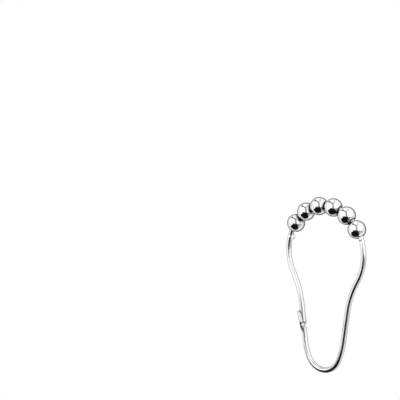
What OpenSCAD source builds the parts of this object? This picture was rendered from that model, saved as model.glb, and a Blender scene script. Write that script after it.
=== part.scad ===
// Roller shower curtain hook: one sprung wire ring with hollow balls that roll on its upper loop.
// Millimetres, +Z up. The ring lies in the XZ plane and the curtain rod runs along Y through the origin,
// which is the centre of the round upper loop. The catch is on the -X leg.

/* [Wire] */
// Diameter of the round wire
wire_d = 2.4; // [2.1:0.1:2.6]
// Radius of the round upper loop, at the wire's centre
loop_r = 21.5; // [20.5:0.5:24]
// Radius of the bend below the loop where each leg curves back in
neck_r = 40; // [36:0.5:44]
// Lean of each leg towards the middle, in degrees
leg_lean = 8; // [7:0.1:8.5]
// Distance by which the line of each straight leg passes outside the bottom bend
leg_out = 0.8; // [0.5:0.1:1.2]
// Radius of the bend from each leg to the bottom
side_r = 31; // [27:0.1:36]
// Radius of the bottom bend
bottom_r = 9.6; // [8.5:0.1:11]
// Drop from the loop's centre to the bottom bend, at the wire's centre
drop = 53.9; // [52.5:0.1:56]
// Rounding of the wire's cut ends
end_round = 0.35; // [0.1:0.05:0.5]

/* [Balls] */
// Number of balls on the loop
ball_count = 6; // [6:1:6]
// Diameter of a ball
ball_d = 8.3; // [7.6:0.1:8.8]
// Thickness of the ball's sheet metal
ball_wall = 0.45; // [0.35:0.05:0.6]
// Outer diameter of the flat rim round each hole
rim_d = 3.5; // [3.4:0.1:4]
// Running clearance between the wire and the hole, on each side
hole_clearance = 0.3; // [0.25:0.05:0.4]
// Broken edge at the mouth of each hole
rim_break = 0.12; // [0.05:0.01:0.15]
// Gap between neighbouring balls
ball_gap = 0.1; // [0.05:0.05:0.3]
// Turn of the whole row of balls towards the catch leg, in degrees
row_turn = 0.2; // [-1.5:0.1:1.5]

/* [Stops] */
// Radius of each pinched stop, from the inner side of the wire
stop_r = 1.3; // [0.9:0.1:1.6]
// Thickness of each stop, across the ring
stop_t = 1.1; // [0.8:0.1:1.6]
// Depth of the dent that pinching leaves on each face of the wire
pinch_depth = 0.25; // [0.1:0.05:0.4]
// Free run between the last ball and the stop on the catch leg
catch_run = 1.4; // [0.5:0.1:2.5]
// Free run between the last ball and the stop on the plain leg
plain_run = 0.4; // [0.2:0.1:2.5]

/* [Catch] */
// Length of the catch, from the shoulder of the wire to its open top
catch_len = 7.8; // [7:0.1:8.2]
// Thickness of the flattened metal
catch_wall = 0.6; // [0.45:0.05:0.7]
// Clearance between the catch and the free end that rests in it
catch_gap = 0.12; // [0.08:0.02:0.2]
// Reach of the catch's rounded wings past the wire's centre
wing_reach = 0.7; // [0.3:0.1:1]
// Radius of the curved edge of each wing
wing_r = 5; // [4.6:0.1:6]
// Outward lean of the catch from its leg, in degrees
catch_lean = 9; // [6:0.5:10]
// Space between the free end and the shoulder
end_space = 2.2; // [1.5:0.1:2.4]
// Straight wire left between the shoulder and the side bend
shoulder_up = 4.5; // [4:0.1:5]
// Length of the swelling where the flattened metal leaves the wire
heel_len = 2.4; // [1.8:0.1:3]
// Height of that swelling over the wire
heel_rise = 0.3; // [0.15:0.05:0.4]

/* [Hidden] */
ROUND = 64;
BEND = 240;
wire_r = wire_d / 2;

// Each straight part is a hair thicker than the bends and laps over their ends, and where two bends meet a
// collar does the same
lap = 0.3;
leg_r = wire_r + 0.01;

// Angles and lengths along the wire are held to a thousandth, so that each bend ends exactly where the next
// one starts
function held(v) = round(v * 1000) / 1000;

// Each leg is a straight line. Places on it are given as a distance down it, counted from the foot of the
// perpendicular that the loop's centre drops on it. The neck bend touches the loop from outside.
leg_offset = bottom_r + (drop - bottom_r) * sin(leg_lean) + leg_out;
neck_turn = held(acos((leg_offset + neck_r) / (loop_r + neck_r)));
neck_angle = neck_turn + leg_lean;
neck_x = (loop_r + neck_r) * cos(neck_angle);
neck_z = -(loop_r + neck_r) * sin(neck_angle);
leg_x = (loop_r + neck_r) * cos(neck_turn) - neck_r;
leg_top = (loop_r + neck_r) * sin(neck_turn);

// The side bend leaves the foot of the leg and runs round into the bottom bend
side_turn = held(acos(1 - leg_out / (side_r - bottom_r)));
side_angle = leg_lean + side_turn;
leg_foot = held((drop - bottom_r) * cos(leg_lean) - (side_r - bottom_r) * sin(side_turn));
foot_x = leg_x * cos(leg_lean) - leg_foot * sin(leg_lean);
foot_z = -leg_x * sin(leg_lean) - leg_foot * cos(leg_lean);
side_bend_r = (foot_x - bottom_r * cos(side_angle)) / (cos(leg_lean) - cos(side_angle));
side_x = foot_x - side_bend_r * cos(leg_lean);
side_z = foot_z + side_bend_r * sin(leg_lean);
bottom_z = side_z - (side_bend_r - bottom_r) * sin(side_angle);

// Balls: the holes are centred on the wire where it crosses the rims, so a ball turns about that chord
ball_r = ball_d / 2;
rim_r = rim_d / 2;
hole_r = wire_r + hole_clearance;
half_len = sqrt(ball_r * ball_r - rim_r * rim_r);
row_r = sqrt(loop_r * loop_r - half_len * half_len);
ball_pitch = 2 * (atan2(half_len, row_r - rim_r) + asin(ball_gap / 2 / norm([half_len, row_r - rim_r])));
ball_reach = asin(ball_r / row_r);
function ball_angle(i) = 90 + row_turn + ((ball_count + 1) / 2 - i) * ball_pitch;

// Stops stand on the loop past the last ball on each side
stop_half = asin(stop_r / loop_r);
catch_stop = ball_angle(1) + ball_reach + catch_run / loop_r * 180 / PI + stop_half;
plain_stop = ball_angle(ball_count) - ball_reach - plain_run / loop_r * 180 / PI - stop_half;

// Catch: a channel folded from the flattened end of the wire round the other end
shoulder = leg_foot - shoulder_up;
free_end = shoulder - end_space;
catch_top = shoulder - catch_len;
channel_r = wire_r + catch_gap;
channel_low = shoulder + heel_len / 2;
wing_mid = (catch_top + shoulder) / 2;
neck_half = 0.8 * wire_r;
neck_depth = 0.5 * wire_r;

// Moves across the ring's plane in two steps, the second one below a thousandth
module shift(x, z) {
    translate([held(x), 0, held(z)]) translate([x - held(x), 0, z - held(z)]) children();
}

// A length of wire bent to radius r about a point of the ring's plane, from angle a to angle b
module bend(x, z, r, a, b) {
    shift(x, z) rotate([90, 0, 0]) rotate_extrude(start = a, angle = b - a, $fn = BEND)
        translate([held(r), 0]) translate([r - held(r), 0]) circle(r = wire_r, $fn = ROUND);
}

// Puts what follows on the +X leg: +Z runs up the wire, +X points out of the ring, and z = 0 is at the
// given distance down the leg
module on_leg(distance) {
    rotate([0, leg_lean, 0]) translate([leg_x, 0, -distance]) children();
}

// A straight length of wire whose lower end is cut, with its edge rounded
module cut_wire(length) {
    flat = leg_r - end_round;
    corner = [for (a = [0:15:90]) [flat + end_round * sin(a), end_round * (1 - cos(a))]];
    rotate_extrude($fn = ROUND) polygon(concat([[0, 0]], corner, [[leg_r, length], [0, length]]));
}

// A short collar where two bends meet, at the given angle below +X on a bend of radius r about [0, z]
module collar(z, r, angle) {
    translate([0, 0, z]) rotate([0, angle, 0]) translate([r, 0, -lap])
        cylinder(r = leg_r, h = 2 * lap, $fn = ROUND);
}

// The bends of one leg, without its straight part
module leg_bends() {
    collar(0, loop_r, neck_angle);
    bend(neck_x, neck_z, neck_r, 180 - neck_angle, 180 - leg_lean);
    bend(side_x, side_z, side_bend_r, -side_angle, -leg_lean);
    collar(bottom_z, bottom_r, side_angle);
}

// A half-round fin that pinching leaves on the inner side of the wire
module stop_fin(angle) {
    rotate([0, -angle, 0]) translate([loop_r - wire_r, 0, 0])
        rotate([90, 0, 0]) cylinder(r = stop_r, h = stop_t, center = true, $fn = ROUND);
}

// The two shallow dents that the pinching tool leaves on the faces of the wire beside a fin
module pinch_dents(angle) {
    for (side = [-1, 1])
        rotate([0, -angle, 0]) translate([0, side * (wire_r + stop_r - pinch_depth), 0])
            rotate([0, 90, 0]) translate([0, 0, loop_r - wire_r])
                cylinder(r = stop_r, h = 2 * wire_r, $fn = ROUND);
}

// The folded channel in its own frame: +Z up, open towards -X, its axis on the z axis
module channel() {
    length = channel_low - catch_top;
    rotate([0, 0, -90]) rotate_extrude(angle = 180, $fn = ROUND)
        translate([channel_r, 0]) square([catch_wall, length]);
    for (side = [0, 1]) mirror([0, side, 0])
        translate([-wing_reach, channel_r, 0]) cube([wing_reach, catch_wall, length]);
}

// The channel as it stands on the leg: rounded wings above, a narrow neck below
module catch() {
    wide = 4 * wire_d;
    intersection() {
        on_leg(free_end) rotate([0, catch_lean, 0]) translate([0, 0, free_end - channel_low]) channel();
        union() {
            on_leg(wing_mid) translate([wing_r - wing_reach, 0, 0])
                rotate([90, 0, 0]) cylinder(r = wing_r, h = wide, center = true, $fn = BEND);
            on_leg(channel_low) translate([neck_depth, -neck_half, 0])
                cube([wide, 2 * neck_half, channel_low - wing_mid]);
        }
    }
}

// The swelling on the outer side where the catch grows out of the wire
module heel() {
    intersection() {
        on_leg(shoulder + heel_len)
            cylinder(r1 = wire_r - heel_rise / 2, r2 = wire_r + heel_rise, h = heel_len, $fn = ROUND);
        on_leg(shoulder + heel_len) translate([0, -wire_d, 0]) cube([wire_d, 2 * wire_d, heel_len]);
    }
}

// The catch leg: the free end above, and the shoulder, heel and catch below
module catch_leg() {
    on_leg(free_end) cut_wire(free_end - leg_top + lap);
    on_leg(shoulder) mirror([0, 0, 1]) cut_wire(shoulder_up + lap);
    heel();
    catch();
}

module wire() {
    color("silver") difference() {
        union() {
            bend(0, 0, loop_r, -neck_angle, 180 + neck_angle);
            leg_bends();
            on_leg(leg_foot + lap) cylinder(r = leg_r, h = leg_foot - leg_top + 2 * lap, $fn = ROUND);
            mirror([1, 0, 0]) {
                leg_bends();
                catch_leg();
            }
            bend(0, bottom_z, bottom_r, 180 + side_angle, 360 - side_angle);
            stop_fin(catch_stop);
            stop_fin(plain_stop);
        }
        pinch_dents(catch_stop);
        pinch_dents(plain_stop);
    }
}

// One hollow ball with its holes along Z
module ball_shell() {
    difference() {
        sphere(r = ball_r, $fn = ROUND);
        sphere(r = ball_r - ball_wall, $fn = ROUND);
        cylinder(r = hole_r, h = 2 * ball_d, center = true, $fn = ROUND);
        for (side = [0, 1]) mirror([0, 0, side]) {
            translate([-ball_r, -ball_r, half_len]) cube([ball_d, ball_d, ball_r]);
            translate([0, 0, half_len - rim_break])
                cylinder(r1 = hole_r, r2 = hole_r + 2 * rim_break, h = 2 * rim_break, $fn = ROUND);
        }
    }
}

// Ball number i, counted along the loop from the catch leg
module ball(i) {
    color("gainsboro") rotate([0, -ball_angle(i), 0]) translate([row_r, 0, 0]) ball_shell();
}

wire();
ball(1);  // ball_1
ball(2);  // ball_2
ball(3);  // ball_3
ball(4);  // ball_4
ball(5);  // ball_5
ball(6);  // ball_6
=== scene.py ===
"""The looks of the roller shower curtain hook: polished chrome in a pale studio, seen from front right."""

import math

import bpy
from mathutils import Matrix, Vector

MM = 0.001

# Camera: its bearing from the object, in degrees and metres, and where the ring stands in the picture
PICTURE_PX = 400
AZIMUTH = 38.5
ELEVATION = 8.9
ROLL = 1.4
DISTANCE = 0.7
PX_PER_MM = 2.2
TARGET = Vector((0, 0, -15 * MM))
TARGET_PX = (324.7, 285.7)
SENSOR_MM = 36

# Grey levels: what the chrome shows in the picture, on the sRGB curve, where levels past white are brighter
WHITE_LEVEL = 255
SRGB_OFFSET = 0.055
SRGB_POWER = 2.4

# Studio: a pale dome round the object, and cards that only reflections show. Its lengths are in metres, and
# its axes are the picture's right, its up, and the way back to the camera.
STUDIO_CENTRE = Vector((0, 0, 14 * MM))
DOME_LEVEL = 234
ROUND_SIDES = 48

# Patches: cards placed by where each one shows on a ball, in shares of the ball's radius, with x to the
# picture's right and y up. Each is (name, x, y, half width, half height, tilt in degrees, squareness, level,
# distance).
PATCHES = [
    ("left_box", -0.41, 0.12, 0.27, 0.34, 8, 2.6, 264, 1.4),
    ("right_box", 0.35, 0.27, 0.29, 0.44, -6, 2.6, 264, 1.4),
    ("top_box", -0.14, 0.68, 0.16, 0.13, 0, 2.2, 258, 1.4),
    ("strip", -0.04, 0.17, 0.09, 0.28, 4, 4, 168, 1.3),
    ("strip_foot", -0.03, -0.03, 0.1, 0.09, 0, 3, 150, 1.25),
    ("floor_lip", -0.3, -0.13, 0.15, 0.07, 10, 2, 90, 1.0),
    ("left_arm", -0.24, 0.49, 0.24, 0.05, -30, 2.5, 110, 1.2),
    ("left_arm_end", -0.43, 0.6, 0.09, 0.08, 0, 2, 15, 1.1),
    ("right_arm", 0.12, 0.54, 0.18, 0.05, 45, 2.5, 200, 1.2),
    ("floor_edge", 0.22, -0.34, 0.13, 0.22, -12, 2.5, 150, 1.0),
    ("floor_tail", 0.4, -0.24, 0.24, 0.11, 8, 2, 178, 1.2),
]
PATCH_RINGS = 6

# Floor: the dark patch in front of the object, placed like the others but with an outline of its own
FLOOR_LEVEL = 18
FLOOR_AWAY = 0.8
FLOOR_CENTRE = (-0.13, -0.42)
FLOOR_OUTLINE = [
    (-0.64, -0.38),
    (-0.48, -0.22),
    (-0.15, -0.13),
    (0.1, -0.1),
    (0.17, -0.3),
    (0.24, -0.58),
    (0.17, -0.76),
    (-0.1, -0.77),
    (-0.44, -0.64),
]

# Near cards: two dark ellipses, one below the bottom bend and one beside the catch's foot, whose dark
# reflection is painted shade of the pocket there. Each has its place in the studio and its half widths, and
# the first one slopes down to the right.
NEAR_LEVEL = 25
FOOT_PLACE = (-0.031, -0.08, -0.008)
FOOT_WIDE = 0.038
FOOT_SLOPE = 0.012
FOOT_DEEP = 0.023
FLAG_PLACE = (-0.0144, -0.0481, -0.0132)
FLAG_TALL = 0.0024
FLAG_DEEP = 0.004

# Backdrop: a round grey card behind the object, turned to the right. Its distance is that of its rim. Its
# half width and its turn are angles at the studio's centre, in degrees. Its fade is a share of its radius.
BACKDROP_AWAY = 1
BACKDROP_HALF = 70
BACKDROP_TURN = 7
BACKDROP_LEVEL = 90
BACKDROP_FADE = 0.9

# Chrome: the share of light that it gives back, its tint, and how far the haze dims that tint
REFLECTANCE = 0.93
TINT = (0.93, 0.935, 0.94)
HAZE_DIM = 0.96
HAZE_DETAIL = 6

# Ripples: faint waves of the surface, coarser than the haze by this share of its scale
RIPPLE_SHARE = 0.4
RIPPLE_DETAIL = 2
RIPPLE_STRENGTH = 0.02
RIPPLE_HEIGHT = 0.05 * MM

# Crevices: painted shade, a darker colour where surfaces meet. How near another surface must be to darken the
# colour, how open the place is where the painted shade is full and where it is clear, and the painted shade's
# colour
BALL_CREVICE = 2.4 * MM
WIRE_CREVICE = 1.2 * MM
CREVICE_DARK = 0.45
CREVICE_CLEAR = 0.9
CREVICE_PAINTED_SHADE = 0.02
CREVICE_SAMPLES = 16

# Finishes: the scale of the haze and its lowest and highest roughness. The drawn wire is the duller one.
WIRE_HAZE_SCALE = 900
WIRE_ROUGHNESS = (0.12, 0.2)
BALL_HAZE_SCALE = 600
BALL_ROUGHNESS = (0.02, 0.07)


def camera_axes():
    """The picture's right, its up, and the way back from the object to the camera."""
    turn, rise, roll = math.radians(AZIMUTH), math.radians(ELEVATION), math.radians(ROLL)
    back = Vector((math.sin(turn) * math.cos(rise), -math.cos(turn) * math.cos(rise), math.sin(rise)))
    sideways = Vector((math.cos(turn), math.sin(turn), 0))
    upright = back.cross(sideways)
    right = math.cos(roll) * sideways + math.sin(roll) * upright
    up = -math.sin(roll) * sideways + math.cos(roll) * upright
    return right, up, back


RIGHT, UP, BACK = camera_axes()


def make_camera():
    """Places the camera so that the target shows at TARGET_PX, at PX_PER_MM."""
    data = bpy.data.cameras.new("camera")
    data.sensor_width = SENSOR_MM
    data.lens = PX_PER_MM * DISTANCE / MM / PICTURE_PX * SENSOR_MM
    camera = bpy.data.objects.new("camera", data)
    bpy.context.scene.collection.objects.link(camera)
    place = TARGET + BACK * DISTANCE
    across = (TARGET_PX[0] - PICTURE_PX / 2) / PX_PER_MM * MM
    down = (TARGET_PX[1] - PICTURE_PX / 2) / PX_PER_MM * MM
    aim = TARGET - RIGHT * across + UP * down
    forward = (aim - place).normalized()
    side = forward.cross(UP).normalized()
    turn = Matrix((side, side.cross(forward), -forward)).transposed()
    camera.matrix_world = Matrix.Translation(place) @ turn.to_4x4()
    bpy.context.scene.camera = camera


def studio(x, y, z):
    """A point of the studio: x to the picture's right, y up, z towards the camera."""
    return STUDIO_CENTRE + RIGHT * x + UP * y + BACK * z


def glow_for(level):
    """The glow of a card that the chrome shows at this grey level."""
    shade = level / WHITE_LEVEL
    return ((shade + SRGB_OFFSET) / (1 + SRGB_OFFSET)) ** SRGB_POWER / REFLECTANCE


def light_material(name, glow_strength):
    """A surface that glows evenly."""
    material = bpy.data.materials.new(name)
    material.use_nodes = True
    nodes, links = material.node_tree.nodes, material.node_tree.links
    nodes.clear()
    out = nodes.new("ShaderNodeOutputMaterial")
    glow = nodes.new("ShaderNodeEmission")
    glow.inputs["Color"].default_value = (1, 1, 1, 1)
    glow.inputs["Strength"].default_value = glow_strength
    links.new(glow.outputs["Emission"], out.inputs["Surface"])
    return material


def fading_light(name, middle_level, edge_level, share):
    """The glow of a disc that goes from its edge's level to its middle's over this share of its radius."""
    material = light_material(name, 1)
    nodes, links = material.node_tree.nodes, material.node_tree.links
    place = nodes.new("ShaderNodeTexCoord")
    inward = nodes.new("ShaderNodeTexGradient")
    inward.gradient_type = "SPHERICAL"
    links.new(place.outputs["Object"], inward.inputs["Vector"])
    fade = nodes.new("ShaderNodeMapRange")
    fade.interpolation_type = "SMOOTHSTEP"
    fade.inputs["From Max"].default_value = share
    fade.inputs["To Min"].default_value = glow_for(edge_level)
    fade.inputs["To Max"].default_value = glow_for(middle_level)
    links.new(inward.outputs["Fac"], fade.inputs["Value"])
    links.new(fade.outputs["Result"], nodes["Emission"].inputs["Strength"])
    return material


def card(name, corners, faces, material, place=Matrix()):
    """A surface of the studio that only reflections show."""
    mesh = bpy.data.meshes.new(name)
    mesh.from_pydata(corners, [], faces)
    mesh.materials.append(material)
    piece = bpy.data.objects.new(name, mesh)
    piece.matrix_world = place
    piece.visible_camera = False
    piece.visible_shadow = False
    bpy.context.scene.collection.objects.link(piece)


def disc(name, centre, across, along, material):
    """A flat disc or ellipse with these two half widths, given as vectors."""
    corners = []
    for side in range(ROUND_SIDES):
        turn = 2 * math.pi * side / ROUND_SIDES
        corners.append((math.cos(turn), math.sin(turn), 0))
    axes = Matrix((across, along, across.cross(along).normalized())).transposed().to_4x4()
    card(name, corners, [tuple(range(ROUND_SIDES))], material, Matrix.Translation(centre) @ axes)


def ball_place(x, y, away):
    """The studio point that a ball mirrors at this place of its picture, in shares of its radius."""
    z = math.sqrt(1 - x * x - y * y)
    return studio(away * 2 * z * x, away * 2 * z * y, away * (2 * z * z - 1))


def patch(name, centre, outline, level, away):
    """A card curved with the dome: rings of corners that grow from its centre to its outline."""
    sides = len(outline)
    corners = [ball_place(*centre, away)]
    for ring in range(1, PATCH_RINGS + 1):
        share = ring / PATCH_RINGS
        for x, y in outline:
            across = centre[0] + share * (x - centre[0])
            upward = centre[1] + share * (y - centre[1])
            corners.append(ball_place(across, upward, away))
    faces = []
    for side in range(sides):
        after = (side + 1) % sides
        faces.append((0, 1 + side, 1 + after))
        for ring in range(PATCH_RINGS - 1):
            inner = 1 + ring * sides
            outer = inner + sides
            faces.append((inner + side, outer + side, outer + after, inner + after))
    card(name, corners, faces, light_material(name, glow_for(level)))


def rounded(centre, wide, tall, tilt, squareness):
    """The corners of a tilted superellipse: squareness 2 gives an ellipse, and more gives squarer corners."""
    lean = math.radians(tilt)
    corners = []
    for side in range(ROUND_SIDES):
        turn = 2 * math.pi * side / ROUND_SIDES
        across, upward = math.cos(turn), math.sin(turn)
        x = wide * math.copysign(abs(across) ** (2 / squareness), across)
        y = tall * math.copysign(abs(upward) ** (2 / squareness), upward)
        corners.append((
            centre[0] + x * math.cos(lean) - y * math.sin(lean),
            centre[1] + x * math.sin(lean) + y * math.cos(lean),
        ))
    return corners


def make_patches():
    """The curved cards that the balls mirror."""
    for name, x, y, wide, tall, tilt, squareness, level, away in PATCHES:
        patch(name, (x, y), rounded((x, y), wide, tall, tilt, squareness), level, away)
    patch("front_floor", FLOOR_CENTRE, FLOOR_OUTLINE, FLOOR_LEVEL, FLOOR_AWAY)


def make_near_cards():
    """The two dark cards close to the wire."""
    dark = light_material("foot", glow_for(NEAR_LEVEL))
    slope = RIGHT * FOOT_WIDE - UP * FOOT_SLOPE
    disc("foot", studio(*FOOT_PLACE), slope, BACK * FOOT_DEEP, dark)
    # The flag's dark reflection paints the shade in the pocket at the catch's foot.
    disc("flag", studio(*FLAG_PLACE), UP * FLAG_TALL, BACK * FLAG_DEEP, dark)


def make_backdrop():
    """The grey card behind the object."""
    half, swing = math.radians(BACKDROP_HALF), math.radians(BACKDROP_TURN)
    outward = math.sin(swing) * RIGHT - math.cos(swing) * BACK
    sideways = math.cos(swing) * RIGHT + math.sin(swing) * BACK
    centre = STUDIO_CENTRE + outward * math.cos(half) * BACKDROP_AWAY
    radius = math.sin(half) * BACKDROP_AWAY
    backdrop = fading_light("backdrop", BACKDROP_LEVEL, DOME_LEVEL, BACKDROP_FADE)
    disc("backdrop", centre, sideways * radius, UP * radius, backdrop)


def make_world():
    """White behind the object, and the pale dome in its reflections."""
    world = bpy.data.worlds.new("studio")
    world.use_nodes = True
    bpy.context.scene.world = world
    nodes, links = world.node_tree.nodes, world.node_tree.links
    background = nodes["Background"]
    background.inputs["Strength"].default_value = 1
    path = nodes.new("ShaderNodeLightPath")
    tone = nodes.new("ShaderNodeMix")
    tone.data_type = "RGBA"
    pale = glow_for(DOME_LEVEL)
    tone.inputs["A"].default_value = (pale, pale, pale, 1)
    tone.inputs["B"].default_value = (1, 1, 1, 1)
    links.new(path.outputs["Is Camera Ray"], tone.inputs["Factor"])
    links.new(tone.outputs["Result"], background.inputs["Color"])


def noise(material, scale, detail):
    """A fine cloudy pattern that is fixed to the solid, as a socket that goes from 0 to 1."""
    nodes, links = material.node_tree.nodes, material.node_tree.links
    place = nodes.new("ShaderNodeTexCoord")
    pattern = nodes.new("ShaderNodeTexNoise")
    pattern.inputs["Scale"].default_value = scale
    pattern.inputs["Detail"].default_value = detail
    links.new(place.outputs["Object"], pattern.inputs["Vector"])
    return pattern.outputs["Fac"]


def openness(material, reach):
    """How clear of other surfaces a place is: 0 in a crevice and 1 in the open. It is the mask of the painted
    shade.
    """
    nodes, links = material.node_tree.nodes, material.node_tree.links
    crevice = nodes.new("ShaderNodeAmbientOcclusion")
    crevice.samples = CREVICE_SAMPLES
    crevice.inputs["Distance"].default_value = reach
    depth = nodes.new("ShaderNodeMapRange")
    depth.inputs["From Min"].default_value = CREVICE_DARK
    depth.inputs["From Max"].default_value = CREVICE_CLEAR
    links.new(crevice.outputs["AO"], depth.inputs["Value"])
    return depth.outputs["Result"]


def chrome(name, haze_scale, roughness, crevice_reach):
    """Polished chrome: nearly even, with a faint haze and ripples, and painted shade that darkens its colour
    where surfaces meet.
    """
    material = bpy.data.materials.new(name)
    material.use_nodes = True
    nodes, links = material.node_tree.nodes, material.node_tree.links
    shader = nodes["Principled BSDF"]
    shader.inputs["Metallic"].default_value = 1
    haze = noise(material, haze_scale, HAZE_DETAIL)
    smoothest, roughest = roughness
    rough = nodes.new("ShaderNodeMapRange")
    rough.inputs["To Min"].default_value = smoothest
    rough.inputs["To Max"].default_value = roughest
    links.new(haze, rough.inputs["Value"])
    links.new(rough.outputs["Result"], shader.inputs["Roughness"])
    tone = nodes.new("ShaderNodeMix")
    tone.data_type = "RGBA"
    tone.inputs["A"].default_value = (*[part * HAZE_DIM for part in TINT], 1)
    tone.inputs["B"].default_value = (*TINT, 1)
    links.new(haze, tone.inputs["Factor"])
    # Painted shade: where other surfaces are near, the colour is mixed towards the dark crevice colour.
    painted_shade_mix = nodes.new("ShaderNodeMix")
    painted_shade_mix.data_type = "RGBA"
    painted_shade_mix.inputs["A"].default_value = (CREVICE_PAINTED_SHADE, CREVICE_PAINTED_SHADE, CREVICE_PAINTED_SHADE, 1)
    links.new(openness(material, crevice_reach), painted_shade_mix.inputs["Factor"])
    links.new(tone.outputs["Result"], painted_shade_mix.inputs["B"])
    links.new(painted_shade_mix.outputs["Result"], shader.inputs["Base Color"])
    bump = nodes.new("ShaderNodeBump")
    bump.inputs["Strength"].default_value = RIPPLE_STRENGTH
    bump.inputs["Distance"].default_value = RIPPLE_HEIGHT
    links.new(noise(material, haze_scale * RIPPLE_SHARE, RIPPLE_DETAIL), bump.inputs["Height"])
    links.new(bump.outputs["Normal"], shader.inputs["Normal"])
    return material


def dress(node, material):
    """Gives a solid its one material."""
    node.data.materials.clear()
    node.data.materials.append(material)


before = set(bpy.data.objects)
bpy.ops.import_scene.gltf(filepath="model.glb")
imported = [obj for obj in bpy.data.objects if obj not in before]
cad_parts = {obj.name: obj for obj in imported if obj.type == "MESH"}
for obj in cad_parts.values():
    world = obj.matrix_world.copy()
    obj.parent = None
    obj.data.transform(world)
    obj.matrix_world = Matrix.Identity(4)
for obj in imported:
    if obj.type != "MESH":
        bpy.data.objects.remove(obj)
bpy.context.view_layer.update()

scene = bpy.context.scene
scene.view_settings.view_transform = "Standard"
make_camera()
make_world()
make_patches()
make_near_cards()
make_backdrop()

wire_chrome = chrome("wire_chrome", WIRE_HAZE_SCALE, WIRE_ROUGHNESS, WIRE_CREVICE)
ball_chrome = chrome("ball_chrome", BALL_HAZE_SCALE, BALL_ROUGHNESS, BALL_CREVICE)
for name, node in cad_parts.items():
    dress(node, wire_chrome if name == "wire" else ball_chrome)
